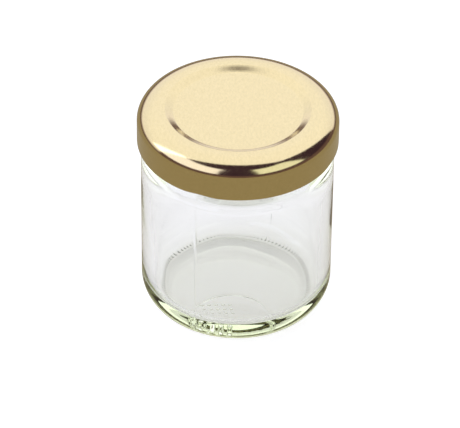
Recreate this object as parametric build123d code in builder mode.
from build123d import *
import math
import os

# A small round preserve jar: a pressed and blown glass body, a gold lacquered tinplate
# twist-off lid with turned-in lugs, and the ring of sealing compound inside the lid.
# The jar stands on its bearing ring at Z = 0, with its axis on +Z. The front faces -Y.

# ---- driving dimensions, millimetres ----

# Whole object
total_height = 52.2
front_angle = 270.0

# Glass body
body_radius = 21.9
heel_round = 7.1
bearing_outer = 18.1
bearing_width = 1.1
push_up = 1.3
shoulder_start = 39.8
shoulder_round = 2.0
side_wall = 2.8
base_rise = 4.5
inner_heel_round = 3.5
inner_shoulder_round = 3.0

# Neck and its four thread ridges
neck_radius = 20.2
bore_radius = 17.4
lip_outer_round = 1.1
lip_inner_round = 0.9
thread_starts = 4
thread_lead = 12.0
thread_reach = 0.9
thread_root_half = 0.62
thread_tip_half = 0.3
thread_lead_in = 15.0
thread_span = 92.0
thread_stations = 11
thread_fade = 0.16

# Lid shell, one stamped sheet
sheet = 0.2
lid_radius = 22.8
lid_height = 9.2
crown_width = 5.0
crown_height = 3.4
recess_outer = 16.5
recess_inner = 14.65
recess_depth = 0.95
recess_round = 0.6
curl_radius = 0.68

# Lugs, pressed inwards from the lid's curl
lug_count = 4
lug_offset = 22.0
lug_width = 18.0
lug_reach = 20.55
lug_thickness = 0.8
lug_gap = 0.5

# Sealing ring
liner_inner = 17.2
liner_outer = 21.0
liner_thickness = 1.1
liner_gap = 0.15
seal_gap = 0.1

# ---- heights and radii that follow from them ----

lid_bottom = total_height - lid_height
crown_start = lid_radius - crown_width
crown_base = total_height - crown_height
panel_height = total_height - recess_depth
liner_top = total_height - sheet - liner_gap
liner_bottom = liner_top - liner_thickness
rim_height = liner_bottom - seal_gap
inner_radius = body_radius - side_wall
bearing_inner = bearing_outer - bearing_width
# The heel's round is centred over the base and cut off by the bearing ring.
heel_centre = body_radius - heel_round
heel_height = math.sqrt(heel_round**2 - (bearing_outer - heel_centre) ** 2)
heel_turn = math.degrees(math.atan2(heel_height, bearing_outer - heel_centre))
shoulder_corner = shoulder_start + shoulder_round * math.tan(math.radians(22.5))
neck_start = shoulder_corner + (body_radius - neck_radius)
lug_bottom = lid_bottom + lug_gap * curl_radius
lug_top = lug_bottom + lug_thickness
lug_angles = [front_angle - lug_offset + 360.0 * k / lug_count for k in range(lug_count)]
rise_per_degree = thread_lead / 360.0
# The ridge's underside clears the whole width of a lug that lies level beneath it.
ridge_middle = lug_top + rise_per_degree * lug_width / 2 + 0.15 + thread_root_half

os.makedirs("parts", exist_ok=True)


def radial_plane(angle, radius=0.0, height=0.0):
    """An upright plane through the axis: its x runs outwards and its y runs up."""
    turn = math.radians(angle)
    outwards = (math.cos(turn), math.sin(turn), 0)
    along = (math.sin(turn), -math.cos(turn), 0)
    middle = (radius * outwards[0], radius * outwards[1], height)
    return Plane(origin=middle, x_dir=outwards, z_dir=along)


# ---- glass jar: heel, wall, shoulder, neck, rounded lip, bore and the hollow inside ----

with BuildPart() as glass_jar:
    with BuildSketch(Plane.XZ) as jar_section:
        with BuildLine():
            Line((0, base_rise), (0, push_up))
            TangentArc((0, push_up), (bearing_inner, 0), tangent=(1, 0))
            Line((bearing_inner, 0), (bearing_outer, 0))
            CenterArc(
                (heel_centre, heel_height), heel_round, start_angle=-heel_turn, arc_size=heel_turn
            )
            FilletPolyline(
                (body_radius, heel_height),
                (body_radius, shoulder_corner),
                (neck_radius, neck_start),
                (neck_radius, rim_height),
                (bore_radius, rim_height),
                (bore_radius, neck_start - 0.5),
                (inner_radius, shoulder_start - 2.5),
                (inner_radius, base_rise),
                (0, base_rise),
                radius=[
                    shoulder_round,
                    0.8,
                    lip_outer_round,
                    lip_inner_round,
                    inner_shoulder_round,
                    inner_shoulder_round,
                    inner_heel_round,
                ],
            )
        make_face()
    revolve(axis=Axis.Z)

    # Each ridge is lofted along its climb, and fades into the neck at both ends.
    for lug_angle in lug_angles:
        for station in range(thread_stations):
            share = station / (thread_stations - 1)
            sweep_angle = -thread_lead_in + thread_span * share
            fade = min(1.0, min(share, 1.0 - share) / thread_fade)
            swell = 0.12 + 0.88 * math.sin(fade * math.pi / 2)
            reach = thread_reach * swell
            height = ridge_middle + rise_per_degree * sweep_angle
            with BuildSketch(radial_plane(lug_angle + sweep_angle, neck_radius, height)):
                with BuildLine():
                    Polyline(
                        (-0.4, -thread_root_half * swell),
                        (0, -thread_root_half * swell),
                        (reach, -thread_tip_half * swell),
                        (reach, thread_tip_half * swell),
                        (0, thread_root_half * swell),
                        (-0.4, thread_root_half * swell),
                        close=True,
                    )
                make_face()
        loft()

glass_jar.part.label = "glass_jar"
export_step(glass_jar.part, "parts/glass_jar.step")


# ---- lid shell: sunk panel, raised ring, rounded crown, skirt, rolled edge and lugs ----

ramp_tilt = math.atan2(recess_depth, recess_outer - recess_inner)
ramp_shift = sheet * math.tan(ramp_tilt / 2)
curl_centre = lid_radius - curl_radius
curl_height = lid_bottom + curl_radius

with BuildPart() as lid_shell:
    with BuildSketch(Plane.XZ) as sheet_section:
        with BuildLine():
            # The side seen from outside
            FilletPolyline(
                (0, panel_height),
                (recess_inner, panel_height),
                (recess_outer, total_height),
                (crown_start, total_height),
                radius=recess_round,
            )
            EllipticalCenterArc(
                (crown_start, crown_base), crown_width, crown_height, start_angle=0, arc_size=90
            )
            Line((lid_radius, crown_base), (lid_radius, curl_height))
            CenterArc((curl_centre, curl_height), curl_radius, start_angle=90, arc_size=270)
            Line(
                (curl_centre, curl_height + curl_radius),
                (curl_centre, curl_height + curl_radius - sheet),
            )
            # The side seen from inside
            CenterArc((curl_centre, curl_height), curl_radius - sheet, start_angle=90, arc_size=270)
            Line((lid_radius - sheet, curl_height), (lid_radius - sheet, crown_base))
            EllipticalCenterArc(
                (crown_start, crown_base),
                crown_width - sheet,
                crown_height - sheet,
                start_angle=0,
                arc_size=90,
            )
            FilletPolyline(
                (crown_start, total_height - sheet),
                (recess_outer + ramp_shift, total_height - sheet),
                (recess_inner + ramp_shift, panel_height - sheet),
                (0, panel_height - sheet),
                radius=recess_round,
            )
            Line((0, panel_height - sheet), (0, panel_height))
        make_face()
    revolve(axis=Axis.Z)

    # A lug is a tongue of the rolled edge, folded flat and turned in under a ridge.
    for lug_angle in lug_angles:
        with BuildSketch(radial_plane(lug_angle - lug_width / 2)):
            with BuildLine():
                Polyline(
                    (curl_centre, lug_bottom),
                    (lug_reach + lug_thickness / 2, lug_bottom),
                )
                CenterArc(
                    (lug_reach + lug_thickness / 2, lug_bottom + lug_thickness / 2),
                    lug_thickness / 2,
                    start_angle=90,
                    arc_size=180,
                )
                Polyline(
                    (lug_reach + lug_thickness / 2, lug_top),
                    (curl_centre, lug_top),
                    (curl_centre, lug_bottom),
                )
            make_face()
        revolve(axis=Axis.Z, revolution_arc=lug_width)

lid_shell.part.label = "lid_shell"
export_step(lid_shell.part, "parts/lid_shell.step")


# ---- sealing ring: flat below, following the crown's curve above ----

liner_crown = (crown_width - sheet - liner_gap, crown_height - sheet - liner_gap)
outer_share = (liner_outer - crown_start) / liner_crown[0]
outer_angle = math.degrees(math.acos(outer_share))
outer_top = crown_base + liner_crown[1] * math.sqrt(1 - outer_share**2)

with BuildPart() as sealing_liner:
    with BuildSketch(Plane.XZ) as liner_section:
        with BuildLine():
            Polyline(
                (crown_start, liner_top),
                (liner_inner, liner_top),
                (liner_inner, liner_bottom),
                (liner_outer, liner_bottom),
                (liner_outer, outer_top),
            )
            EllipticalCenterArc(
                (crown_start, crown_base),
                liner_crown[0],
                liner_crown[1],
                start_angle=outer_angle,
                arc_size=90 - outer_angle,
            )
        make_face()
    revolve(axis=Axis.Z)

sealing_liner.part.label = "sealing_liner"
export_step(sealing_liner.part, "parts/sealing_liner.step")
